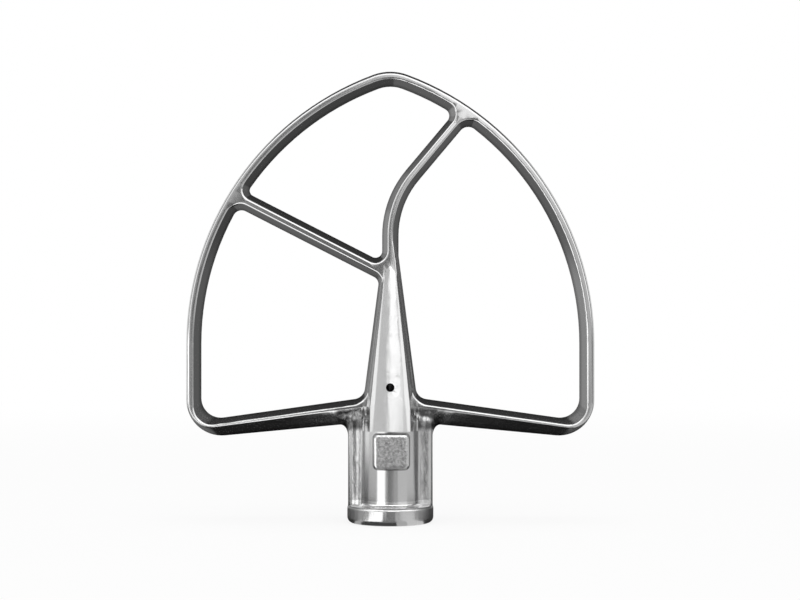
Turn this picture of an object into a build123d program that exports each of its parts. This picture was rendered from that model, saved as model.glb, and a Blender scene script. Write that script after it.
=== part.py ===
"""Flat beater for a stand mixer: one polished steel casting, standing on the mouth of its hub.

Frame: millimetres, +Z up, origin at the centre of the hub's mouth, which is the face that it stands on.
The paddle lies in the XZ plane. -Y is the front, which carries the vent hole and the bare foundry pad.
"""

import os
from math import cos, radians, sin, sqrt, tan

from build123d import *

# Bars: depth of every crest from the middle plane, and how far the sides lean in per millimetre of depth
CREST_DEPTH = 5.6
BAR_SLOPE = 0.41
SLANT_SLOPE = 0.40
STEM_SLOPE = 0.268
ARM_SLOPE = 0.36
RIM_INNER_SLOPE = 0.49
RIM_OUTER_SLOPE = 0.19
CREST_ROUND = 0.9

# Cutters run this far past the faces that they cut
OVERCUT = 1.0
CUT_DEPTH = CREST_DEPTH + OVERCUT

# Rim: the closed loop that sweeps the bowl
HALF_WIDTH = 82.5
SIDE_RADIUS = 116.0
SIDE_TANGENT_Z = 72.15
APEX_RADIUS = 20.0
RIM_CREST = 2.3
RIM_WIDTH = RIM_CREST + CREST_DEPTH * (RIM_OUTER_SLOPE + RIM_INNER_SLOPE)

# Arms: from the hub out to the corners of the rim, with heights taken on the beater's axis
ARM_UNDER_Z = 41.3
ARM_UNDER_ANGLE = 5.35
ARM_HEIGHT = 10.5
ARM_TOP_ANGLE = 8.0
ARM_TOP_Z = ARM_UNDER_Z + ARM_HEIGHT
ARM_CREST = 1.2
CORNER_RADIUS = 14.4
CORNER_WINDOW_RADIUS = 7.9
CORNER_WINDOW_TIGHTENING = 0.12
CORNER_CREST_STEP = 1.6
CORNER_CREST_RADIUS = CORNER_WINDOW_RADIUS + CORNER_CREST_STEP

# Slanted bar: its middle line meets the beater's axis at this height
SLANT_AXIS_Z = 99.6
SLANT_ANGLE = 27.1
SLANT_CREST = 2.45
SLANT_WIDTH = SLANT_CREST + 2 * SLANT_SLOPE * CREST_DEPTH

# Curved arm: rises on the axis, bends to the right and runs straight into the rim
CURVE_CREST = 2.05
CURVE_WIDTH = CURVE_CREST + 2 * BAR_SLOPE * CREST_DEPTH
CURVE_RISE = 16.2
CURVE_START_Z = SLANT_AXIS_Z + CURVE_RISE
CURVE_RADIUS = 38.0
CURVE_ANGLE = 40.0

# Shaft socket: a plain blind bore with a bayonet keyway for the drive pin, and its vent in the front
BORE_DIAMETER = 12.9
MOUTH_CHAMFER = 0.8
POINT_ANGLE = 31.0
POINT_FLAT = 2.0
KEYWAY_WIDTH = 5.4
KEYWAY_DEPTH = 4.0
KEYWAY_REACH = 21.0
KEYWAY_TURN = 75.0
VENT_DIAMETER = 3.4
VENT_RISE = 3.1
VENT_Z = ARM_TOP_Z + VENT_RISE
BORE_PAST_VENT = 1.4
BORE_DEPTH = VENT_Z + VENT_DIAMETER / 2 + BORE_PAST_VENT

# Hub: a round core between two side ribs, on a collar
CORE_WALL = 2.05
CORE_DIAMETER = BORE_DIAMETER + 2 * (KEYWAY_DEPTH + CORE_WALL)
COLLAR_LIP = 4.9
COLLAR_DIAMETER = CORE_DIAMETER + 2 * COLLAR_LIP
COLLAR_HEIGHT = 7.2
COLLAR_FOOT_ROUND = 2.4
COLLAR_TOP_ROUND = 1.2
COLLAR_ROOT_FILLET = 1.6
COLLAR_SINK = 0.1
RIB_SETBACK = 0.3
RIB_SPAN = COLLAR_DIAMETER - 2 * RIB_SETBACK
RIB_UNDERCUT = 1.4
RIB_THICKNESS = 2 * (CREST_DEPTH - RIB_UNDERCUT)
RIB_FILLET = 3.4
RIB_ROUND = 2.2
HUB_TOP_RISE = 2.7
HUB_TOP_Z = ARM_UNDER_Z + HUB_TOP_RISE
HUB_TOP_ROUND = 3.0
ARM_HUB_FILLET = 3.2

# Stem: a tapered spine from below the bend of the curved arm down over the front and back of the hub
STEM_FLARE = 0.13
HIP_BELOW_BEND = 0.9
HIP_RISE = (BAR_SLOPE - STEM_SLOPE) / STEM_FLARE
STEM_TOP_Z = CURVE_START_Z - HIP_BELOW_BEND - HIP_RISE * CUT_DEPTH
STEM_FOOT_DROP = 3.9
STEM_FOOT_Z = ARM_UNDER_Z - STEM_FOOT_DROP
STEM_FOOT_LAND = 16.6
STEM_PROUD = 0.9
STEM_FOOT_DEPTH = CORE_DIAMETER / 2 + STEM_PROUD
STEM_STEP = 0.2
STEM_DIP = 0.5
LAND_BULGE = 0.09
LAND_ROUND = 1.2

# Foundry pad on the front of the hub
PAD_WIDTH = 14.2
PAD_HEIGHT = 14.2
PAD_RIGHT = 0.45
PAD_TOP_GAP = 0.9
PAD_PROUD = 0.5
PAD_CORNER = 1.8
PAD_BEVEL = 0.5

# Fillets where the bars meet, in the middle plane
SLANT_RIM_UPPER_FILLET = 2.3
SLANT_RIM_LOWER_FILLET = 3.6
SLANT_STEM_UPPER_FILLET = 2.7
SLANT_STEM_LOWER_FILLET = 3.2
CURVE_RIM_UPPER_FILLET = 3.0
CURVE_RIM_LOWER_FILLET = 4.0
STEM_ARM_FILLET = 4.8
HIP_FILLET = 10.0

# Lines for cutters are longer than the beater
FAR = 4 * HALF_WIDTH

# How close counts as touching
TOUCH = 0.001

SIDE_CENTRE = Vector(HALF_WIDTH - SIDE_RADIUS, SIDE_TANGENT_Z)
APEX_CENTRE_Z = SIDE_TANGENT_Z + sqrt((SIDE_RADIUS - APEX_RADIUS) ** 2 - SIDE_CENTRE.X**2)
SLANT_ALONG = Vector(-cos(radians(SLANT_ANGLE)), sin(radians(SLANT_ANGLE)))
SLANT_UP = Vector(sin(radians(SLANT_ANGLE)), cos(radians(SLANT_ANGLE)))
CURVE_CENTRE = Vector(CURVE_RADIUS, CURVE_START_Z)
CURVE_END = Vector(-cos(radians(CURVE_ANGLE)), sin(radians(CURVE_ANGLE)))
CURVE_MIDDLE = Vector(-cos(radians(CURVE_ANGLE / 2)), sin(radians(CURVE_ANGLE / 2)))
CURVE_ALONG = Vector(sin(radians(CURVE_ANGLE)), cos(radians(CURVE_ANGLE)))


def near(face, *points):
    """The face's vertices that lie nearest to these points."""
    return [face.vertices().sort_by_distance(Vector(*point))[0] for point in points]


def rounded(face, corner, radius):
    """The face with its vertex nearest to this corner rounded."""
    return fillet(near(face, corner), radius)


def loop_face(inset, axis_z, angle, corner_radius):
    """The region inside a loop that runs at this inset from the rim's outline, closed below by two straight
    edges that fall from axis_z on the beater's axis at this angle."""
    half_width = HALF_WIDTH - inset
    apex = Vector(0, APEX_CENTRE_Z)
    apex_radius = APEX_RADIUS - inset
    shoulder = apex + (apex - SIDE_CENTRE).normalized() * apex_radius
    side_top = Vector(half_width, SIDE_TANGENT_Z)
    corner = Vector(half_width, axis_z - half_width * tan(radians(angle)))
    right = [
        RadiusArc((0, APEX_CENTRE_Z + apex_radius), shoulder, apex_radius),
        RadiusArc(shoulder, side_top, SIDE_RADIUS - inset),
        Line(side_top, corner),
        Line(corner, (0, axis_z)),
    ]
    left = [mirror(edge, about=Plane.YZ) for edge in right]
    face = make_face([*right, *left])
    return fillet(near(face, corner, (-corner.X, corner.Y)), corner_radius)


def crossing(point, direction, side):
    """Where a ray from this point meets the rim's outline on the left (side -1) or on the right (side 1)."""
    from_centre = point - Vector(side * SIDE_CENTRE.X, SIDE_CENTRE.Y)
    along = from_centre.dot(direction)
    reach = sqrt(along**2 - from_centre.dot(from_centre) + SIDE_RADIUS**2) - along
    return point + direction * reach


def past_slant(side, depth):
    """All that lies past the slanted bar's upper (side 1) or lower (side -1) edge, seen from that window."""
    edge = Vector(0, SLANT_AXIS_Z) + SLANT_UP * side * (SLANT_WIDTH / 2 - SLANT_SLOPE * depth)
    along = SLANT_ALONG * FAR
    beyond = SLANT_UP * -side * FAR
    return make_face(Polyline(edge - along, edge + along, edge + along + beyond, edge - along + beyond, close=True))


def past_curve(side, foot, depth):
    """All that lies past the curved arm's left (side -1) or right (side 1) edge and past the line from where
    that edge starts down through these points, seen from that window."""
    half = CURVE_WIDTH / 2 - BAR_SLOPE * depth
    radius = CURVE_RADIUS - side * half
    start = Vector(side * half, CURVE_START_Z)
    end = CURVE_CENTRE + CURVE_END * radius
    tip = end + CURVE_ALONG * FAR
    beyond = Vector(-side * FAR, 0)
    edges = [
        *Polyline(*foot, start).edges(),
        ThreePointArc(start, CURVE_CENTRE + CURVE_MIDDLE * radius, end),
        *Polyline(end, tip, tip + beyond, foot[0] + beyond, foot[0]).edges(),
    ]
    return make_face(edges)


def stem_half_width(z, depth):
    """Half the stem's width at this height and depth."""
    return CURVE_WIDTH / 2 + STEM_FLARE * (STEM_TOP_Z - z) - STEM_SLOPE * depth


def windows(depth):
    """The three openings as they are at this depth: upper left, lower left and right."""
    lean = BAR_SLOPE * depth
    arm_z = ARM_TOP_Z - ARM_SLOPE * depth / cos(radians(ARM_TOP_ANGLE))
    corner_radius = CORNER_WINDOW_RADIUS - CORNER_WINDOW_TIGHTENING * depth
    inside = loop_face(RIM_WIDTH - RIM_INNER_SLOPE * depth, arm_z, ARM_TOP_ANGLE, corner_radius)
    slant_rim = crossing(Vector(0, SLANT_AXIS_Z), SLANT_ALONG, -1)
    curve_rim = crossing(CURVE_CENTRE + CURVE_END * CURVE_RADIUS, CURVE_ALONG, 1)
    stem_root = stem_half_width(ARM_TOP_Z, depth)
    foot = Vector(stem_half_width(0, depth), 0)
    half_curve = CURVE_WIDTH / 2 - lean
    hip_z = STEM_TOP_Z + HIP_RISE * depth

    upper = inside - past_slant(1, depth) - past_curve(-1, [Vector(-half_curve, 0)], depth)
    upper = rounded(upper, slant_rim + SLANT_UP * SLANT_WIDTH, SLANT_RIM_UPPER_FILLET + lean)
    upper = rounded(upper, (-half_curve, SLANT_AXIS_Z + SLANT_WIDTH), SLANT_STEM_UPPER_FILLET + lean)
    upper = rounded(upper, curve_rim - Vector(CURVE_WIDTH, 0), CURVE_RIM_UPPER_FILLET + lean)

    stem_left = Polyline((-foot.X, 0), (-stem_half_width(FAR, depth), FAR), (FAR, FAR), (FAR, 0), close=True)
    lower = inside - past_slant(-1, depth) - make_face(stem_left)
    lower = rounded(lower, slant_rim - SLANT_UP * SLANT_WIDTH, SLANT_RIM_LOWER_FILLET + lean)
    lower = rounded(lower, (-stem_root / 2, SLANT_AXIS_Z - SLANT_WIDTH), SLANT_STEM_LOWER_FILLET + lean)
    lower = rounded(lower, (-stem_root, arm_z), STEM_ARM_FILLET + lean)

    right = inside - past_curve(1, [foot, Vector(half_curve, hip_z)], depth)
    right = rounded(right, curve_rim - Vector(0, CURVE_WIDTH), CURVE_RIM_LOWER_FILLET + lean)
    right = rounded(right, (stem_root, arm_z), STEM_ARM_FILLET + lean)
    right = rounded(right, (half_curve, hip_z), HIP_FILLET)
    return upper, lower, right


def on_level(body, depth):
    """The body's edges that lie flat at this depth, in front or behind."""
    found = []
    for edge in body.edges():
        depths = [abs((edge @ place).Y) for place in (0, 0.5, 1)]
        if max(depths) - depth < TOUCH and depth - min(depths) < TOUCH:
            found.append(edge)
    return found


def paddle():
    """Rim, arms and bars: one plate that leans in from the middle plane to both faces, cut by the windows, with
    every crest rounded."""
    under_crest_z = ARM_TOP_Z - (ARM_SLOPE * CREST_DEPTH + ARM_CREST) / cos(radians(ARM_TOP_ANGLE))
    middle = loop_face(0, ARM_UNDER_Z, ARM_UNDER_ANGLE, CORNER_RADIUS)
    crest = loop_face(RIM_OUTER_SLOPE * CREST_DEPTH, under_crest_z, ARM_TOP_ANGLE, CORNER_CREST_RADIUS)
    half = loft([Plane.XZ * middle, Plane.XZ.offset(CREST_DEPTH) * crest], ruled=True)
    for narrow, wide in zip(windows(0), windows(CUT_DEPTH)):
        half -= loft([Plane.XZ * narrow, Plane.XZ.offset(CUT_DEPTH) * wide], ruled=True)
    whole = half + mirror(half, about=Plane.XZ)
    return fillet(on_level(whole, CREST_DEPTH), CREST_ROUND)


def stem_section(z, depth, half_land):
    """The stem at this height: leaning sides and a bulging land, the same in front and behind."""
    land_edge = depth - LAND_BULGE * 2 * half_land
    half_width = half_land + STEM_SLOPE * land_edge
    behind = [
        Line((half_width, 0), (half_land, land_edge)),
        ThreePointArc((half_land, land_edge), (0, depth), (-half_land, land_edge)),
        Line((-half_land, land_edge), (-half_width, 0)),
    ]
    ahead = [mirror(line, about=Plane.XZ) for line in behind]
    corners = [(x, y) for x in (-half_land, half_land) for y in (-land_edge, land_edge)]
    face = make_face([*behind, *ahead])
    return Plane.XY.offset(z) * fillet(near(face, *corners), LAND_ROUND)


def stem():
    """The spine: it flares and deepens from the curved arm to the arms, and ends below them on the hub."""
    arm_z = ARM_TOP_Z - STEM_ARM_FILLET
    rise = (arm_z - STEM_FOOT_Z) / (STEM_TOP_Z - STEM_FOOT_Z)
    top_depth = CREST_DEPTH - STEM_DIP
    arm_depth = STEM_FOOT_DEPTH + (top_depth - STEM_FOOT_DEPTH) * rise
    sections = [stem_section(STEM_FOOT_Z, STEM_FOOT_DEPTH, STEM_FOOT_LAND / 2)]
    for z, depth in ((arm_z, arm_depth), (STEM_TOP_Z, top_depth)):
        half_land = (stem_half_width(z, depth) - STEM_STEP) / (1 - 2 * STEM_SLOPE * LAND_BULGE)
        sections.append(stem_section(z, depth, half_land))
    return loft(sections, ruled=True)


def collar():
    """The ring at the mouth: rounded at its foot and top, and swept up into the core."""
    lip = COLLAR_DIAMETER / 2
    root = CORE_DIAMETER / 2 - COLLAR_SINK
    root_z = COLLAR_HEIGHT + COLLAR_ROOT_FILLET
    outside = [(lip, 0), (lip, COLLAR_HEIGHT), (root, COLLAR_HEIGHT), (root, root_z)]
    profile = make_face(Polyline((0, 0), *outside, (0, root_z), close=True))
    profile = rounded(profile, (root, COLLAR_HEIGHT), COLLAR_ROOT_FILLET - TOUCH)
    profile = rounded(profile, (lip, COLLAR_HEIGHT), COLLAR_TOP_ROUND)
    profile = rounded(profile, (lip, 0), COLLAR_FOOT_ROUND)
    return revolve(Plane.XZ * profile, Axis.Z)


def hub():
    """The round core with its two side ribs, standing on the collar."""
    ribs = Circle(RIB_SPAN / 2) & Rectangle(RIB_SPAN, RIB_THICKNESS)
    plan = Circle(CORE_DIAMETER / 2) + ribs
    half_rib = RIB_THICKNESS / 2
    root = sqrt((CORE_DIAMETER / 2) ** 2 - half_rib**2)
    end = sqrt((RIB_SPAN / 2) ** 2 - half_rib**2)
    for reach, radius in ((root, RIB_FILLET), (end, RIB_ROUND)):
        corners = [(x, y) for x in (-reach, reach) for y in (-half_rib, half_rib)]
        plan = fillet(near(plan, *corners), radius)
    foot_z = COLLAR_HEIGHT / 2
    body = Pos(0, 0, foot_z) * extrude(plan, HUB_TOP_Z - foot_z)
    body = fillet(body.faces().sort_by(Axis.Z)[-1].edges(), HUB_TOP_ROUND)
    return body + collar()


def arm_seams(body):
    """The edges where the ends of the ribs run into the undersides of the arms."""
    reach = RIB_SPAN / 2
    seam_z = ARM_UNDER_Z - reach * tan(radians(ARM_UNDER_ANGLE))
    on_ends = [edge for edge in body.edges() if abs(abs((edge @ 0.5).X) - reach) < RIB_ROUND / 2]
    found = []
    for side in (-1, 1):
        found += ShapeList(on_ends).sort_by_distance(Vector(side * reach, 0, seam_z))[:2]
    return found


def pad():
    """The bare foundry pad."""
    middle_z = STEM_FOOT_Z - PAD_TOP_GAP - PAD_HEIGHT / 2
    outline = Pos(PAD_RIGHT, middle_z) * RectangleRounded(PAD_WIDTH, PAD_HEIGHT, PAD_CORNER)
    body = extrude(Plane.XZ * outline, CORE_DIAMETER / 2 + PAD_PROUD)
    return chamfer(body.faces().sort_by(Axis.Y)[0].edges(), PAD_BEVEL)


def socket():
    """The blind shaft bore with its pointed end and chamfered mouth, the bayonet keyway, which runs in from the
    mouth and then turns about the axis, and the vent hole."""
    radius = BORE_DIAMETER / 2
    profile = Polyline(
        (0, 0),
        (radius + MOUTH_CHAMFER, 0),
        (radius, MOUTH_CHAMFER),
        (radius, BORE_DEPTH),
        (POINT_FLAT / 2, BORE_DEPTH + (radius - POINT_FLAT / 2) * tan(radians(POINT_ANGLE))),
        (0, BORE_DEPTH + (radius - POINT_FLAT / 2) * tan(radians(POINT_ANGLE))),
        close=True,
    )
    bore = revolve(Plane.XZ * make_face(profile), Axis.Z)
    reach = radius + KEYWAY_DEPTH
    entry = Box(reach, KEYWAY_WIDTH, KEYWAY_REACH, align=(Align.MIN, Align.CENTER, Align.MIN))
    slot = Plane.XZ * Pos(0, KEYWAY_REACH - KEYWAY_WIDTH) * Rectangle(reach, KEYWAY_WIDTH, align=Align.MIN)
    turn = revolve(slot, Axis.Z, KEYWAY_TURN)
    vent = Pos(0, 0, VENT_Z) * extrude(Plane.XZ * Circle(VENT_DIAMETER / 2), STEM_FOOT_DEPTH + OVERCUT)
    return bore + entry + turn + vent


def beater():
    """The whole casting."""
    body = paddle() + hub()
    body = fillet(arm_seams(body), ARM_HUB_FILLET)
    return body + stem() + pad() - socket()


os.makedirs("parts", exist_ok=True)
export_step(beater().solid(), "parts/flat_beater.step")
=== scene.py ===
"""Looks of a polished stand mixer flat beater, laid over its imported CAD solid."""

import math
from typing import NamedTuple

import bpy
import numpy as np
from bpy.props import FloatProperty, FloatVectorProperty, PointerProperty
from bpy.types import Operator, Panel, PropertyGroup
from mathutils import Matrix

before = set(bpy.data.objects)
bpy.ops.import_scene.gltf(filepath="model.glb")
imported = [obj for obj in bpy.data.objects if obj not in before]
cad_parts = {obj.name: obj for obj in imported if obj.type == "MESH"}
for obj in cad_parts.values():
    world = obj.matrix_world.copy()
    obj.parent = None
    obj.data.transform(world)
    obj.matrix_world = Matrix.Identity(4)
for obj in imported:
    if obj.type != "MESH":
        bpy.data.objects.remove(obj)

bl_info = {
    "name": "Flat beater looks",
    "version": (1, 0, 0),
    "blender": (4, 5, 0),
    "location": "View3D > Sidebar > Beater",
    "description": "Polished casting finish, light tent and camera for a stand mixer flat beater",
    "category": "Object",
}

BEATER = "flat_beater"

# Sockets of a Mix node by number, because several of them share a name
MIX_FACTOR = 0
MIX_VALUES = (2, 3)
MIX_COLORS = (6, 7)
MIX_VALUE_RESULT = 0
MIX_COLOR_RESULT = 2

# Half a turn in degrees
HALF_TURN = 180.0

# Camera: its sensor in millimetres, and the nearest and farthest that it sees in metres
SENSOR_WIDTH = 36.0
CLIP_START = 0.01
CLIP_END = 50.0

# Soft top lamp
LAMP_WIDTH = 0.9
LAMP_DEPTH = 0.7
LAMP_PLACE = (0.0, -0.15, 1.1)

# Floor: its inner rings, the steps round it, and how white it looks near the beater and far from it
FLOOR_RINGS = (0.0005, 0.2, 0.6)
FLOOR_STEPS = 64
FLOOR_NEAR_RADIUS = 0.15
FLOOR_FAR_RADIUS = 0.9
FLOOR_NEAR_WHITE = 0.85

# Width of the soft edges between finishes
MASK_EDGE = 0.0006

# The cast skin is left on the ribs beside the core and on the arms' roots, but not on the ribs' ends
RIB_INSIDE_X = 0.0122
RIB_LOW_Z = 0.0072
RIB_HIGH_Z = 0.0460
RIB_FADING_X = 0.0190
RIB_FADED_X = 0.0270
RIB_DEPTH = 0.0049
RIB_END_X = 0.0157
RIB_END_HIGH_Z = 0.0370
RIB_END_FADE = 0.0030

# Streak values at which the cast skin is as bright as the polish, and at which it is fully dull
SKIN_BRIGHT_AT = 0.70
SKIN_DULL_AT = 0.35

# The foundry pad: a square inside its round corners, and the distance from that square to its rim
PAD_MIDDLE_X = 0.00045
PAD_MIDDLE_Z = 0.0294
PAD_SQUARE_HALF = 0.0053
PAD_RIM = 0.00175
PAD_FALL_START = 0.0004
PAD_FRONT_Y = -0.0120
# Painted shadow round the pad's foot: its width, the depth in front of which it lies, and its darkness
PAD_FOOT_WIDTH = 0.0003
PAD_FOOT_Y = -0.0095
PAD_FOOT_SHADOW_DARKNESS = 0.65
PAD_EDGE_DROP = 0.00016
PAD_GRAIN_SHARE = 0.15
# Share of the painted highlight on the pad's edge
PAD_EDGE_HIGHLIGHT = 0.6

# The pad's speckle of painted highlights: how much of it is grain rather than blotches, and where it is
# dull and bright
SPECKLE_GRAIN_SHARE = 0.6
SPECKLE_DULL_AT = 0.25
SPECKLE_BRIGHT_AT = 0.68

# The collar is polished less at its two sides than in its middle, and a highlight is painted on its root
COLLAR_TOP_Z = 0.0068
COLLAR_MIDDLE_X = 0.0080
COLLAR_END_X = 0.0140
COLLAR_ROOT_LOW_Z = 0.0078
COLLAR_ROOT_HIGH_Z = 0.0091
COLLAR_ROOT_HIGHLIGHT = 0.7

# Painted shade along the middle plane, darkening the outlines: fully up to the first depth, not past the
# second
EDGE_SHADE_FULL_DEPTH = 0.0003
EDGE_SHADE_END_DEPTH = 0.0026
EDGE_SHADE_DARKNESS = 0.44

# The stem's land: half its width at its foot, what it loses per metre of height, and its rounded edge
LAND_FOOT_Z = 0.0373
LAND_HALF_WIDTH = 0.0092
LAND_TAPER = 0.098
LAND_EDGE_START = 0.70
LAND_EDGE_DROP = 0.00025

# Painted shade: the stem's sides darken towards the middle plane
STEM_SHADE_DEPTH = 0.0070
STEM_SHADE_DARKNESS = 0.9

# The hub and the stem are polished less than the rim and the bars
SATIN_HUB_Z = 0.0400
SATIN_STEM_X = 0.0105
SATIN_STEM_Z = 0.0950
SATIN_EDGE = 0.0100

# The polish is cloudy: its roughness is multiplied by the least value and up to the range more
CLOUD_LEAST = 0.6
CLOUD_RANGE = 0.8

# Painted shade inside the shaft socket and its vent
BORE_RADIUS = 0.0066
BORE_LOW_Z = 0.0012
BORE_HIGH_Z = 0.0625
VENT_Z = 0.0549
VENT_RADIUS = 0.0018
VENT_FRONT_Y = -0.0111
VENT_EDGE = 0.00006

# Painted shade in patches in the nooks under the arms, and the patch values at which there is none and it
# is full
NOOK_INSIDE_X = 0.0105
NOOK_OUTSIDE_X = 0.0205
NOOK_LOW_Z = 0.0390
NOOK_HIGH_Z = 0.0450
NOOK_DEPTH = 0.0053
NOOK_EDGE = 0.0025
SHADE_NONE_AT = 0.75
SHADE_FULL_AT = 0.40


class Pattern(NamedTuple):
    """Noise on the steel: the size of its lumps, how fine it goes, and below 1 how far Z is drawn out."""

    size: float
    detail: float
    roughness: float
    draw: float = 1.0


GRAIN = Pattern(size=0.0010, detail=2.0, roughness=0.6)
BLOTCH = Pattern(size=0.0022, detail=2.0, roughness=0.6)
STREAK = Pattern(size=0.0019, detail=3.0, roughness=0.6, draw=0.3)
WAVE = Pattern(size=0.0024, detail=1.0, roughness=0.4, draw=0.015)
CLOUD = Pattern(size=0.0170, detail=3.0, roughness=0.55)
PATCH = Pattern(size=0.0040, detail=2.0, roughness=0.5)


class TentPanel(NamedTuple):
    """One panel of the light tent, in degrees of azimuth and of elevation, and its brightness.

    Azimuth is counted from the camera towards the right of the picture.
    """

    name: str
    start: float
    end: float
    low: float
    high: float
    brightness: float


# Each panel is laid over the ones before it
TENT_PANELS = (
    TentPanel("left rear wall", -155, -100, -4.2, 40, 0.38),
    TentPanel("right rear wall", 100, 155, -3, 40, 0.15),
    TentPanel("left paper", -172, -155, -3, 12, 0.75),
    TentPanel("right paper", 155, 172, -3, 12, 0.75),
    TentPanel("left ceiling", -148, -100, 14, 78, 0.28),
    TentPanel("right ceiling", 94, 148, 14, 78, 0.13),
    TentPanel("dark ceiling behind", 148, 212, 14, 78, 0.05),
    TentPanel("rear table", -170, -100, -14, -4.2, 0.17),
    TentPanel("table behind the hub", 160, 202, -6.5, -2, 0.50),
    TentPanel("wall behind the hub", 168, 192, -2, 12, 0.55),
    TentPanel("upper left wall", -106, -15, 0.4, 5, 0.78),
    TentPanel("left wall", -106, -15, -2, 0.4, 2.00),
    TentPanel("right wall", 15, 106, -2, 1.5, 0.32),
    TentPanel("upper right wall", 15, 106, 1.5, 5, 0.66),
    TentPanel("left of the camera", -15, -4.6, -2, 9, 0.42),
    TentPanel("right of the camera", 1.5, 15, -2, 9, 0.66),
    TentPanel("left window", -88, -46, 5, 60, 1.50),
    TentPanel("right window", 36, 84, 5, 60, 1.55),
    TentPanel("grey left of the lamp", -46, -5, 5, 32, 0.76),
    TentPanel("grey right of the lamp", 27, 36, 5, 32, 0.80),
    TentPanel("top light", -75, 75, 32, 60, 2.00),
    TentPanel("light above the camera", -5, 27, 9.8, 34, 2.00),
    TentPanel("left table", -88, -46, -11, -2, 0.55),
    TentPanel("right table", 10, 102, -25, -2, 0.74),
    TentPanel("right table's near end", 10, 24, -25, -2, 0.48),
    TentPanel("dark floor", 62, 298, -90, -14, 0.018),
    TentPanel("floor right of the hub", 24, 54, -90, -20, 0.85),
    TentPanel("floor before the hub", 10, 24, -90, -20, 0.60),
    TentPanel("floor left of the hub", -60, -46, -90, -20, 0.55),
    TentPanel("left strip light", -46, -15, -40, -2, 1.85),
    TentPanel("camera", -4.6, 1.0, -2, 9, 0.16),
    TentPanel("gap beside the camera", 1.0, 3.2, 4.2, 9, 1.50),
    TentPanel("below the camera", -15, 10, -45, -2, 0.24),
    TentPanel("dark strip below the camera", -15, 10, -9, -2, 0.17),
)

# Brightness of the tent between its panels, and the width of their soft edges in degrees
TENT_DARK = 0.08
TENT_EDGE = 1.5

# The tent's surface: rings of its floor and of its dome, steps round it, and the floor's height
TENT_MIDDLE_RADIUS = 0.0005
TENT_FLOOR_RINGS = 7
TENT_FLOOR_Z = 0.0003
TENT_DOME_RINGS = 24
TENT_DOME_TOP = 89.95
TENT_STEPS = 72


def grey(name, description, level):
    """Property of a colour that starts as a grey."""
    return FloatVectorProperty(
        name=name,
        description=description,
        subtype="COLOR",
        size=3,
        min=0.0,
        max=1.0,
        default=(level, level, level),
    )


def share(name, description, default):
    """Property of a number from 0 to 1."""
    return FloatProperty(
        name=name,
        description=description,
        subtype="FACTOR",
        min=0.0,
        max=1.0,
        default=default,
    )


def distance(name, description, default, least=0.0):
    """Property of a length in metres."""
    return FloatProperty(
        name=name,
        description=description,
        unit="LENGTH",
        min=least,
        default=default,
    )


def angle(name, description, degrees):
    """Property of an angle up to half a turn, whose default is given in degrees."""
    return FloatProperty(
        name=name,
        description=description,
        subtype="ANGLE",
        min=0.0,
        max=math.pi,
        default=math.radians(degrees),
    )


class BeaterFinish(PropertyGroup):
    """Finish of the casting."""

    steel_color: grey("Steel", "Colour of the polished steel", 0.60)
    cast_color: grey("Cast skin", "Colour of the skin left as it was cast", 0.36)
    # Colour of the painted shade along the middle plane and on the stem's sides
    painted_edge_shade_color: grey("Seam", "Colour of the ground seam on the middle plane", 0.02)
    # Colour of the painted highlights on the pad's edge, on its speckle and on the collar's root
    painted_highlight_color: grey("Painted highlight", "Colour of the pad's edge and high spots and of the collar's root", 0.92)
    # Colour of the painted shade in the nooks, the socket and the vent, and of the painted shadow round the
    # pad
    painted_shade_color: grey("Scale", "Colour of the dark scale in the nooks and hollows", 0.09)
    polish_roughness: share("Polish roughness", "Roughness of the mirror-polished faces", 0.12)
    satin_roughness: share("Satin roughness", "Roughness of the hub and the stem", 0.21)
    collar_roughness: share("Collar roughness", "Roughness of the collar's two sides", 0.38)
    cast_roughness: share("Cast roughness", "Roughness of the skin left as it was cast", 0.27)
    polish_wave: distance("Polish wave", "Height of the slow waves that hand polishing leaves", 0.00014)
    cast_grain: distance("Cast grain", "Height of the grain on the skin left as it was cast", 0.00022)
    weld_distance: distance("Weld distance", "Corners closer than this are joined", 0.00001)
    crease_angle: angle("Crease angle", "Edges sharper than this stay sharp", 38)
    parting_angle: angle("Parting angle", "Edges on the middle plane sharper than this stay sharp", 15)


class StudioSetup(PropertyGroup):
    """Camera, floor, lights and light tent."""

    camera_distance: distance("Camera distance", "From the camera to the beater's middle", 0.75, least=0.1)
    frame_width: distance("Frame width", "Width that the picture covers at the beater", 0.3235, least=0.01)
    aim_right: distance("Aim to the right", "Camera's place right of the shaft's axis", 0.0039, least=-1.0)
    aim_height: distance("Aim height", "Camera's height above the floor", 0.0898)
    floor_color: grey("Floor", "Colour of the floor", 0.92)
    floor_radius: distance("Floor radius", "Radius of the round floor", 6.0, least=1.0)
    room_light: share("Room light", "Strength of the white room's light on the beater", 0.6)
    lamp_power: FloatProperty(
        name="Lamp power",
        description="Power of the soft lamp above the beater",
        unit="POWER",
        min=0.0,
        default=5.0,
    )
    tent_radius: distance("Tent radius", "Radius of the light tent that the steel mirrors", 6.0, least=1.0)
    tent_height: distance("Tent middle", "Height of the point that the panels are laid out around", 0.02)


def add_node(tree, kind, inputs=None, **settings):
    """Adds a node, sets its attributes, and fills or links its inputs."""
    node = tree.nodes.new(kind)
    for name, value in settings.items():
        setattr(node, name, value)
    for key, value in (inputs or {}).items():
        if isinstance(value, bpy.types.NodeSocket):
            tree.links.new(value, node.inputs[key])
        else:
            node.inputs[key].default_value = value
    return node


def calculate(tree, operation, first, second=0.0, third=0.0):
    """One Math node's result."""
    inputs = {0: first, 1: second, 2: third}
    return add_node(tree, "ShaderNodeMath", inputs, operation=operation).outputs[0]


def chain(tree, operation, first, *others):
    """One operation carried on from the first value through all the others."""
    for other in others:
        first = calculate(tree, operation, first, other)
    return first


def product(tree, *values):
    """All the values multiplied together."""
    return chain(tree, "MULTIPLY", *values)


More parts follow.
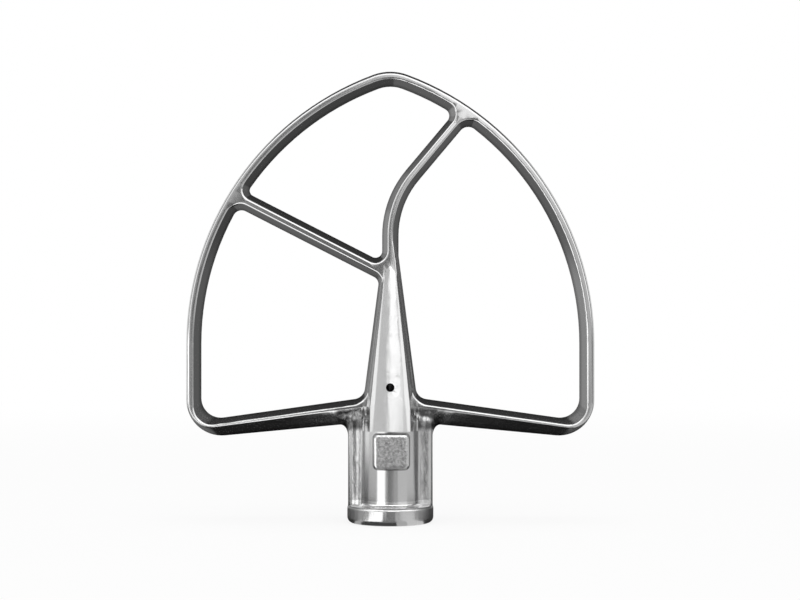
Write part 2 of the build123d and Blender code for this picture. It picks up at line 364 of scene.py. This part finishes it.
def total(tree, *values):
    """All the values added up."""
    return chain(tree, "ADD", *values)


def largest(tree, *values):
    """The largest of the values."""
    return chain(tree, "MAXIMUM", *values)


def vector(tree, operation, first, second=(0.0, 0.0, 0.0)):
    """One Vector Math node's vector."""
    inputs = {0: first, 1: second}
    return add_node(tree, "ShaderNodeVectorMath", inputs, operation=operation).outputs["Vector"]


def length(tree, first):
    """Length of a vector."""
    return add_node(tree, "ShaderNodeVectorMath", {0: first}, operation="LENGTH").outputs["Value"]


def reach(tree, place, middle, axes):
    """Distance of a place from the middle, counted along the axes that are 1."""
    offset = vector(tree, "SUBTRACT", place, middle)
    return length(tree, vector(tree, "MULTIPLY", offset, axes))


def ramp_up(tree, value, start, end):
    """Smooth step from 0 at start to 1 at end, which may be the smaller of the two."""
    inputs = {"Value": value, "From Min": start, "From Max": end}
    node = add_node(tree, "ShaderNodeMapRange", inputs, interpolation_type="SMOOTHSTEP")
    return node.outputs["Result"]


def band(tree, value, low, high, edge):
    """1 between low and high, with soft edges of the given width outside."""
    rising = ramp_up(tree, value, low - edge, low)
    falling = ramp_up(tree, value, high + edge, high)
    return product(tree, rising, falling)


def blend(tree, factor, low, high):
    """The low value where the factor is 0, the high one where it is 1."""
    inputs = {MIX_FACTOR: factor, MIX_VALUES[0]: low, MIX_VALUES[1]: high}
    return add_node(tree, "ShaderNodeMix", inputs, data_type="FLOAT").outputs[MIX_VALUE_RESULT]


def layer(tree, factor, below, above):
    """Lays one colour over another where the factor is 1."""
    inputs = {MIX_FACTOR: factor}
    for socket, color in zip(MIX_COLORS, (below, above)):
        linked = isinstance(color, bpy.types.NodeSocket)
        inputs[socket] = color if linked else (*color, 1.0)
    return add_node(tree, "ShaderNodeMix", inputs, data_type="RGBA").outputs[MIX_COLOR_RESULT]


def noise(tree, place, pattern):
    """Noise of one pattern, from about 0 to 1."""
    inputs = {"Vector": place, "Scale": (1.0, 1.0, pattern.draw)}
    drawn = add_node(tree, "ShaderNodeMapping", inputs).outputs["Vector"]
    inputs = {
        "Vector": drawn,
        "Scale": 1.0 / pattern.size,
        "Detail": pattern.detail,
        "Roughness": pattern.roughness,
    }
    return add_node(tree, "ShaderNodeTexNoise", inputs).outputs[0]


def bare_material(name):
    """A new material with an empty node tree, and that tree."""
    material = bpy.data.materials.new(name)
    material.use_nodes = True
    material.node_tree.nodes.clear()
    return material, material.node_tree


def smooth_skin_group(finish):
    """Geometry nodes that join the loose triangles and shade them smooth between creases.

    Edges on the middle plane, where the two halves of the mould met, crease from a smaller angle on.
    """
    tree = bpy.data.node_groups.new("Smooth skin", "GeometryNodeTree")
    tree.interface.new_socket("Geometry", in_out="INPUT", socket_type="NodeSocketGeometry")
    tree.interface.new_socket("Geometry", in_out="OUTPUT", socket_type="NodeSocketGeometry")
    start = add_node(tree, "NodeGroupInput")
    bare = add_node(
        tree,
        "GeometryNodeRemoveAttribute",
        {"Geometry": start.outputs["Geometry"], "Name": "custom_normal"},
    )
    weld = add_node(
        tree,
        "GeometryNodeMergeByDistance",
        {"Geometry": bare.outputs["Geometry"], "Distance": finish.weld_distance},
    )
    position = add_node(tree, "GeometryNodeInputPosition").outputs["Position"]
    depth = add_node(tree, "ShaderNodeSeparateXYZ", {"Vector": position}).outputs["Y"]
    parting = calculate(tree, "COMPARE", depth, 0.0, finish.weld_distance)
    limit = blend(tree, parting, finish.crease_angle, finish.parting_angle)
    turn = add_node(tree, "GeometryNodeInputMeshEdgeAngle")
    gentle = add_node(
        tree,
        "FunctionNodeCompare",
        {"A": turn.outputs["Unsigned Angle"], "B": limit},
        data_type="FLOAT",
        operation="LESS_THAN",
    )
    faces = add_node(
        tree,
        "GeometryNodeSetShadeSmooth",
        {"Geometry": weld.outputs["Geometry"], "Shade Smooth": True},
        domain="FACE",
    )
    edges = add_node(
        tree,
        "GeometryNodeSetShadeSmooth",
        {"Geometry": faces.outputs["Geometry"], "Shade Smooth": gentle.outputs["Result"]},
        domain="EDGE",
    )
    add_node(tree, "NodeGroupOutput", {"Geometry": edges.outputs["Geometry"]})
    return tree


def pad_distance(tree, place):
    """Distance, seen from the front, to the square inside the pad's round corners."""
    offset = vector(tree, "SUBTRACT", place, (PAD_MIDDLE_X, 0.0, PAD_MIDDLE_Z))
    folded = vector(tree, "MULTIPLY", vector(tree, "ABSOLUTE", offset), (1.0, 0.0, 1.0))
    beyond = vector(tree, "SUBTRACT", folded, (PAD_SQUARE_HALF, 0.0, PAD_SQUARE_HALF))
    return length(tree, vector(tree, "MAXIMUM", beyond))


class Spot:
    """Where the shaded point lies on the casting, and the patterns there."""

    def __init__(self, tree):
        self.place = add_node(tree, "ShaderNodeTexCoord").outputs["Object"]
        split = add_node(tree, "ShaderNodeSeparateXYZ", {"Vector": self.place})
        across, self.depth, self.height = split.outputs
        self.width = calculate(tree, "ABSOLUTE", across)
        self.thickness = calculate(tree, "ABSOLUTE", self.depth)
        self.from_pad = pad_distance(tree, self.place)
        self.grain = noise(tree, self.place, GRAIN)
        self.blotch = noise(tree, self.place, BLOTCH)
        self.streak = noise(tree, self.place, STREAK)
        self.wave = noise(tree, self.place, WAVE)
        self.cloud = noise(tree, self.place, CLOUD)
        self.patch = noise(tree, self.place, PATCH)


def cast_ribs(tree, spot):
    """1 where the ribs and the arms' roots keep their cast skin."""
    round_end = product(
        tree,
        ramp_up(tree, spot.width, RIB_END_X - MASK_EDGE, RIB_END_X),
        ramp_up(tree, spot.height, RIB_END_HIGH_Z + RIB_END_FADE, RIB_END_HIGH_Z),
    )
    return product(
        tree,
        ramp_up(tree, spot.width, RIB_INSIDE_X - MASK_EDGE, RIB_INSIDE_X),
        ramp_up(tree, spot.width, RIB_FADED_X, RIB_FADING_X),
        ramp_up(tree, spot.thickness, RIB_DEPTH + MASK_EDGE, RIB_DEPTH),
        band(tree, spot.height, RIB_LOW_Z, RIB_HIGH_Z, MASK_EDGE),
        calculate(tree, "SUBTRACT", 1.0, round_end),
    )


def pad_masks(tree, spot):
    """1 on the pad's face, 1 on its edge, where a highlight is painted, and its fall from 0 on the face to
    1 at the rim.
    """
    on_pad = product(
        tree,
        calculate(tree, "LESS_THAN", spot.from_pad, PAD_RIM),
        calculate(tree, "LESS_THAN", spot.depth, PAD_FRONT_Y),
    )
    face = product(tree, on_pad, ramp_up(tree, spot.from_pad, PAD_RIM, PAD_FALL_START))
    edge = calculate(tree, "SUBTRACT", on_pad, face)
    fall = product(tree, on_pad, ramp_up(tree, spot.from_pad, PAD_FALL_START, PAD_RIM))
    return face, edge, fall


def stem_area(tree, spot):
    """1 on the stem and on what lies below it."""
    return product(
        tree,
        ramp_up(tree, spot.width, SATIN_STEM_X + MASK_EDGE, SATIN_STEM_X),
        ramp_up(tree, spot.height, SATIN_STEM_Z + SATIN_EDGE, SATIN_STEM_Z),
    )


class Areas:
    """Masks of the casting's areas, each 1 inside its area, and the fall of the pad's edge."""

    def __init__(self, tree, spot):
        self.ribs = cast_ribs(tree, spot)
        self.pad_face, self.pad_edge, self.pad_fall = pad_masks(tree, spot)
        self.stem = stem_area(tree, spot)
        hub = ramp_up(tree, spot.height, SATIN_HUB_Z + SATIN_EDGE, SATIN_HUB_Z)
        self.satin = largest(tree, hub, self.stem)


def land_fall(tree, spot):
    """Fall of the stem's land: 0 in its middle, 1 at its two edges, which draw in with the height."""
    rise = calculate(tree, "SUBTRACT", spot.height, LAND_FOOT_Z)
    half = calculate(tree, "SUBTRACT", LAND_HALF_WIDTH, product(tree, rise, LAND_TAPER))
    outward = calculate(tree, "DIVIDE", spot.width, half)
    return product(
        tree,
        ramp_up(tree, outward, LAND_EDGE_START, 1.0),
        calculate(tree, "GREATER_THAN", rise, 0.0),
    )


def painted_edge_shade_mask(tree, spot, areas):
    """How far painted shade darkens the steel: along the middle plane, and further out on the stem's sides.
    """
    # Painted shade near the middle plane, and on the stem's sides towards it
    middle_plane_shade = ramp_up(tree, spot.thickness, EDGE_SHADE_END_DEPTH, EDGE_SHADE_FULL_DEPTH)
    stem_side = ramp_up(tree, spot.thickness, STEM_SHADE_DEPTH, 0.0)
    return largest(
        tree,
        product(tree, middle_plane_shade, EDGE_SHADE_DARKNESS),
        product(tree, stem_side, areas.stem, STEM_SHADE_DARKNESS),
    )


def painted_highlight_mask(tree, spot, areas):
    """How strongly a highlight is painted on the steel, on the pad's edge and at the collar's root."""
    root = band(tree, spot.height, COLLAR_ROOT_LOW_Z, COLLAR_ROOT_HIGH_Z, MASK_EDGE)
    return largest(
        tree,
        product(tree, areas.pad_edge, PAD_EDGE_HIGHLIGHT),
        product(tree, root, COLLAR_ROOT_HIGHLIGHT),
    )


def painted_shade_hollows(tree, spot):
    """Painted shade: 1 in the socket, in its vent and in patches of the nooks under the arms, and less as a
    painted shadow round the pad's foot.
    """
    # Painted shade in patches of the nooks under the arms
    nook = product(
        tree,
        band(tree, spot.width, NOOK_INSIDE_X, NOOK_OUTSIDE_X, NOOK_EDGE),
        band(tree, spot.height, NOOK_LOW_Z, NOOK_HIGH_Z, NOOK_EDGE),
        ramp_up(tree, spot.thickness, NOOK_DEPTH + MASK_EDGE, NOOK_DEPTH),
        ramp_up(tree, spot.patch, SHADE_NONE_AT, SHADE_FULL_AT),
    )
    # Painted shade inside the shaft socket
    from_axis = reach(tree, spot.place, (0.0, 0.0, 0.0), (1.0, 1.0, 0.0))
    socket = product(
        tree,
        calculate(tree, "LESS_THAN", from_axis, BORE_RADIUS),
        band(tree, spot.height, BORE_LOW_Z, BORE_HIGH_Z, MASK_EDGE),
    )
    # Painted shade inside the vent
    from_vent = reach(tree, spot.place, (0.0, 0.0, VENT_Z), (1.0, 0.0, 1.0))
    vent = product(
        tree,
        calculate(tree, "LESS_THAN", from_vent, VENT_RADIUS),
        band(tree, spot.depth, VENT_FRONT_Y, 0.0, VENT_EDGE),
    )
    # Painted shadow round the pad's foot
    pad_foot = product(
        tree,
        band(tree, spot.from_pad, PAD_RIM, PAD_RIM + PAD_FOOT_WIDTH, PAD_FOOT_WIDTH),
        calculate(tree, "LESS_THAN", spot.depth, PAD_FOOT_Y),
        PAD_FOOT_SHADOW_DARKNESS,
    )
    return largest(tree, nook, socket, vent, pad_foot)


def speckled_pad(tree, finish, spot):
    """Colour of the pad's face: cast skin with painted highlights speckled over it."""
    speckle = total(
        tree,
        product(tree, spot.grain, SPECKLE_GRAIN_SHARE),
        product(tree, spot.blotch, 1.0 - SPECKLE_GRAIN_SHARE),
    )
    # Where the speckle paints highlights over the cast skin
    bright = ramp_up(tree, speckle, SPECKLE_DULL_AT, SPECKLE_BRIGHT_AT)
    return layer(tree, bright, finish.cast_color, finish.painted_highlight_color)


def steel_color(tree, finish, spot, areas):
    """Colour of the steel, from the polish up to the dark hollows, each laid over the ones before."""
    dull = ramp_up(tree, spot.streak, SKIN_BRIGHT_AT, SKIN_DULL_AT)
    color = layer(tree, product(tree, areas.ribs, dull), finish.steel_color, finish.cast_color)
    # Painted shade along the middle plane and on the stem's sides
    color = layer(tree, painted_edge_shade_mask(tree, spot, areas), color, finish.painted_edge_shade_color)
    # The pad's face: cast skin with painted highlight speckles
    color = layer(tree, areas.pad_face, color, speckled_pad(tree, finish, spot))
    # Painted highlights on the pad's edge and on the collar's root
    color = layer(tree, painted_highlight_mask(tree, spot, areas), color, finish.painted_highlight_color)
    # Painted shade in the socket, the vent and the nooks, and painted shadow round the pad's foot
    return layer(tree, painted_shade_hollows(tree, spot), color, finish.painted_shade_color)


def steel_roughness(tree, finish, spot, areas):
    """Roughness of the steel: cloudy polish, then the cast skin, then the collar's two sides."""
    polish = blend(tree, areas.satin, finish.polish_roughness, finish.satin_roughness)
    cloudy = total(tree, product(tree, spot.cloud, CLOUD_RANGE), CLOUD_LEAST)
    cast = largest(tree, areas.ribs, areas.pad_face)
    roughness = blend(tree, cast, product(tree, polish, cloudy), finish.cast_roughness)
    collar_sides = product(
        tree,
        ramp_up(tree, spot.height, COLLAR_TOP_Z + MASK_EDGE, COLLAR_TOP_Z),
        ramp_up(tree, spot.width, COLLAR_MIDDLE_X, COLLAR_END_X),
    )
    return blend(tree, collar_sides, roughness, finish.collar_roughness)


def steel_relief(tree, finish, spot, areas):
    """Height of the skin in metres: cast grain and polishing waves, less the drop of rounded edges."""
    raised = total(
        tree,
        product(tree, spot.streak, areas.ribs, finish.cast_grain),
        product(tree, spot.grain, areas.pad_face, PAD_GRAIN_SHARE, finish.cast_grain),
        product(tree, spot.wave, areas.satin, finish.polish_wave),
    )
    dropped = total(
        tree,
        product(tree, areas.pad_fall, PAD_EDGE_DROP),
        product(tree, land_fall(tree, spot), areas.stem, LAND_EDGE_DROP),
    )
    return calculate(tree, "SUBTRACT", raised, dropped)


def steel_material(finish):
    """Cast steel: polished rim and bars, satin hub and stem, cast skin on the ribs and the pad."""
    material, tree = bare_material("Polished cast steel")
    spot = Spot(tree)
    areas = Areas(tree, spot)
    relief = steel_relief(tree, finish, spot, areas)
    bump = add_node(tree, "ShaderNodeBump", {"Strength": 1.0, "Distance": 1.0, "Height": relief})
    shader = add_node(
        tree,
        "ShaderNodeBsdfPrincipled",
        {
            "Base Color": steel_color(tree, finish, spot, areas),
            "Metallic": 1.0,
            "Roughness": steel_roughness(tree, finish, spot, areas),
            "Normal": bump.outputs["Normal"],
        },
    )
    add_node(tree, "ShaderNodeOutputMaterial", {"Surface": shader.outputs["BSDF"]})
    return material


def seen_mask(tree):
    """1 for the rays that look at the background, straight or in a mirror or glass."""
    path = add_node(tree, "ShaderNodeLightPath").outputs
    return largest(tree, path["Is Camera Ray"], path["Is Glossy Ray"], path["Is Transmission Ray"])


def floor_material(studio):
    """Pale floor that looks white away from the beater and keeps its shadow near it."""
    material, tree = bare_material("Pale floor")
    place = add_node(tree, "ShaderNodeTexCoord").outputs["Object"]
    far = ramp_up(tree, length(tree, place), FLOOR_NEAR_RADIUS, FLOOR_FAR_RADIUS)
    white = blend(tree, far, FLOOR_NEAR_WHITE, 1.0)
    paint = add_node(tree, "ShaderNodeBsdfDiffuse", {"Color": (*studio.floor_color, 1.0)})
    glow = add_node(tree, "ShaderNodeEmission", {"Color": (1.0, 1.0, 1.0, 1.0), "Strength": 1.0})
    mix = add_node(
        tree,
        "ShaderNodeMixShader",
        {
            0: product(tree, white, seen_mask(tree)),
            1: paint.outputs["BSDF"],
            2: glow.outputs["Emission"],
        },
    )
    add_node(tree, "ShaderNodeOutputMaterial", {"Surface": mix.outputs["Shader"]})
    return material


def tent_material(studio):
    """Glowing walls of the light tent: panels laid out by azimuth and elevation round its middle."""
    material, tree = bare_material("Light tent")
    place = add_node(tree, "ShaderNodeTexCoord").outputs["Object"]
    offset = vector(tree, "SUBTRACT", place, (0.0, 0.0, studio.tent_height))
    direction = vector(tree, "NORMALIZE", offset)
    right, back, up = add_node(tree, "ShaderNodeSeparateXYZ", {"Vector": direction}).outputs
    turn = calculate(tree, "ARCTAN2", right, product(tree, back, -1.0))
    azimuth = calculate(tree, "DEGREES", turn)
    elevation = calculate(tree, "DEGREES", calculate(tree, "ARCSINE", up))
    level = TENT_DARK
    for panel in TENT_PANELS:
        half = (panel.end - panel.start) / 2
        away = calculate(tree, "SUBTRACT", azimuth, panel.start + half)
        wrapped = calculate(tree, "WRAP", away, HALF_TURN, -HALF_TURN)
        inside = product(
            tree,
            band(tree, wrapped, -half, half, TENT_EDGE),
            band(tree, elevation, panel.low, panel.high, TENT_EDGE),
        )
        level = blend(tree, inside, level, panel.brightness)
        level.node.label = panel.name
    glow = add_node(tree, "ShaderNodeEmission", {"Strength": level})
    add_node(tree, "ShaderNodeOutputMaterial", {"Surface": glow.outputs["Emission"]})
    material.cycles.emission_sampling = "NONE"
    return material


def turned_surface(name, radii, heights, steps):
    """Surface of revolution about Z: point (i, j) is (r_i sin t_j, -r_i cos t_j, z_i), t_j evenly round."""
    turn = np.linspace(0.0, 2.0 * np.pi, steps, endpoint=False)
    x = np.outer(radii, np.sin(turn))
    y = -np.outer(radii, np.cos(turn))
    z = np.outer(heights, np.ones(steps))
    points = np.stack([x, y, z], axis=-1).reshape(-1, 3)
    row = np.arange(len(radii) - 1)[:, None] * steps
    here = np.arange(steps)[None, :]
    after = np.roll(here, -1, axis=1)
    quads = np.stack([row + here, row + after, row + steps + after, row + steps + here], axis=-1)
    mesh = bpy.data.meshes.new(name)
    mesh.from_pydata(points.tolist(), [], quads.reshape(-1, 4).tolist())
    mesh.update()
    made = bpy.data.objects.new(name, mesh)
    bpy.context.scene.collection.objects.link(made)
    return made


def pale_floor(studio):
    """Round flat floor: rings of growing radius at height 0."""
    radii = np.array([*FLOOR_RINGS, studio.floor_radius])
    floor = turned_surface("Pale floor", radii, np.zeros(len(radii)), FLOOR_STEPS)
    floor.data.materials.append(floor_material(studio))
    return floor


def light_tent(studio):
    """Half a sphere on a flat floor, which only mirror reflections see.

    Dome ring i stands at angle a_i, with radius R cos a_i and height R sin a_i over the tent's floor.
    """
    dome = np.radians(np.linspace(0.0, TENT_DOME_TOP, TENT_DOME_RINGS))
    flat = np.linspace(TENT_MIDDLE_RADIUS, studio.tent_radius, TENT_FLOOR_RINGS, endpoint=False)
    radii = np.concatenate([flat, studio.tent_radius * np.cos(dome)])
    heights = TENT_FLOOR_Z + np.concatenate([np.zeros(len(flat)), studio.tent_radius * np.sin(dome)])
    tent = turned_surface("Light tent", radii, heights, TENT_STEPS)
    tent.data.materials.append(tent_material(studio))
    tent.visible_camera = False
    tent.visible_diffuse = False
    tent.visible_transmission = False
    tent.visible_shadow = False
    return tent


def white_room(studio):
    """World that looks white and lights the beater more softly."""
    world = bpy.data.worlds.new("White room")
    world.use_nodes = True
    tree = world.node_tree
    tree.nodes.clear()
    strength = blend(tree, seen_mask(tree), studio.room_light, 1.0)
    inputs = {"Color": (1.0, 1.0, 1.0, 1.0), "Strength": strength}
    room = add_node(tree, "ShaderNodeBackground", inputs)
    add_node(tree, "ShaderNodeOutputWorld", {"Surface": room.outputs["Background"]})
    return world


def top_lamp(studio):
    """Wide soft lamp above the beater, which the steel doesn't mirror."""
    lamp = bpy.data.lights.new("Soft top lamp", "AREA")
    lamp.shape = "RECTANGLE"
    lamp.size = LAMP_WIDTH
    lamp.size_y = LAMP_DEPTH
    lamp.energy = studio.lamp_power
    made = bpy.data.objects.new("Soft top lamp", lamp)
    made.location = LAMP_PLACE
    made.visible_glossy = False
    bpy.context.scene.collection.objects.link(made)
    return made


def front_camera(studio):
    """Camera that looks level along Y at the front of the beater."""
    camera = bpy.data.cameras.new("Camera")
    camera.sensor_width = SENSOR_WIDTH
    camera.lens = SENSOR_WIDTH * studio.camera_distance / studio.frame_width
    camera.clip_start = CLIP_START
    camera.clip_end = CLIP_END
    made = bpy.data.objects.new("Camera", camera)
    made.location = (studio.aim_right, -studio.camera_distance, studio.aim_height)
    made.rotation_euler = (math.pi / 2, 0.0, 0.0)
    bpy.context.scene.collection.objects.link(made)
    return made


class BEATER_OT_finish_casting(Operator):
    """Smooths the casting's skin between its creases and gives it polished steel"""

    bl_idname = "beater.finish_casting"
    bl_label = "Finish the casting"

    def execute(self, context):
        finish = context.scene.beater_finish
        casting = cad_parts[BEATER]
        skin = casting.modifiers.new("Smooth skin", "NODES")
        skin.node_group = smooth_skin_group(finish)
        weighted = casting.modifiers.new("Even shading", "WEIGHTED_NORMAL")
        weighted.mode = "FACE_AREA_WITH_ANGLE"
        weighted.keep_sharp = True
        casting.data.materials.clear()
        casting.data.materials.append(steel_material(finish))
        return {"FINISHED"}


class BEATER_OT_set_stage(Operator):
    """Lays the pale floor, puts up the light tent and the lamp, and sets the camera"""

    bl_idname = "beater.set_stage"
    bl_label = "Set the stage"

    def execute(self, context):
        scene = context.scene
        studio = scene.beater_studio
        scene.view_settings.view_transform = "Standard"
        pale_floor(studio)
        light_tent(studio)
        scene.world = white_room(studio)
        top_lamp(studio)
        scene.camera = front_camera(studio)
        return {"FINISHED"}


class BEATER_PT_looks(Panel):
    """Sizes, colours and steps of the beater's looks"""

    bl_idname = "BEATER_PT_looks"
    bl_label = "Flat beater"
    bl_space_type = "VIEW_3D"
    bl_region_type = "UI"
    bl_category = "Beater"

    def draw(self, context):
        layout = self.layout
        for heading, group in (
            ("Finish", context.scene.beater_finish),
            ("Studio", context.scene.beater_studio),
        ):
            box = layout.box()
            box.label(text=heading)
            for name in group.__annotations__:
                box.prop(group, name)
        layout.operator(BEATER_OT_finish_casting.bl_idname)
        layout.operator(BEATER_OT_set_stage.bl_idname)


CLASSES = (
    BeaterFinish,
    StudioSetup,
    BEATER_OT_finish_casting,
    BEATER_OT_set_stage,
    BEATER_PT_looks,
)


def register():
    """Registers the classes and puts the settings on the scene."""
    for cls in CLASSES:
        bpy.utils.register_class(cls)
    bpy.types.Scene.beater_finish = PointerProperty(type=BeaterFinish)
    bpy.types.Scene.beater_studio = PointerProperty(type=StudioSetup)


def unregister():
    """Takes the settings off the scene and unregisters the classes."""
    del bpy.types.Scene.beater_studio
    del bpy.types.Scene.beater_finish
    for cls in reversed(CLASSES):
        bpy.utils.unregister_class(cls)


def main():
    """Registers the looks, dresses the casting and sets the stage."""
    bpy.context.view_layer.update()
    register()
    bpy.ops.beater.finish_casting()
    bpy.ops.beater.set_stage()
    bpy.context.view_layer.update()


if __name__ == "__main__":
    main()
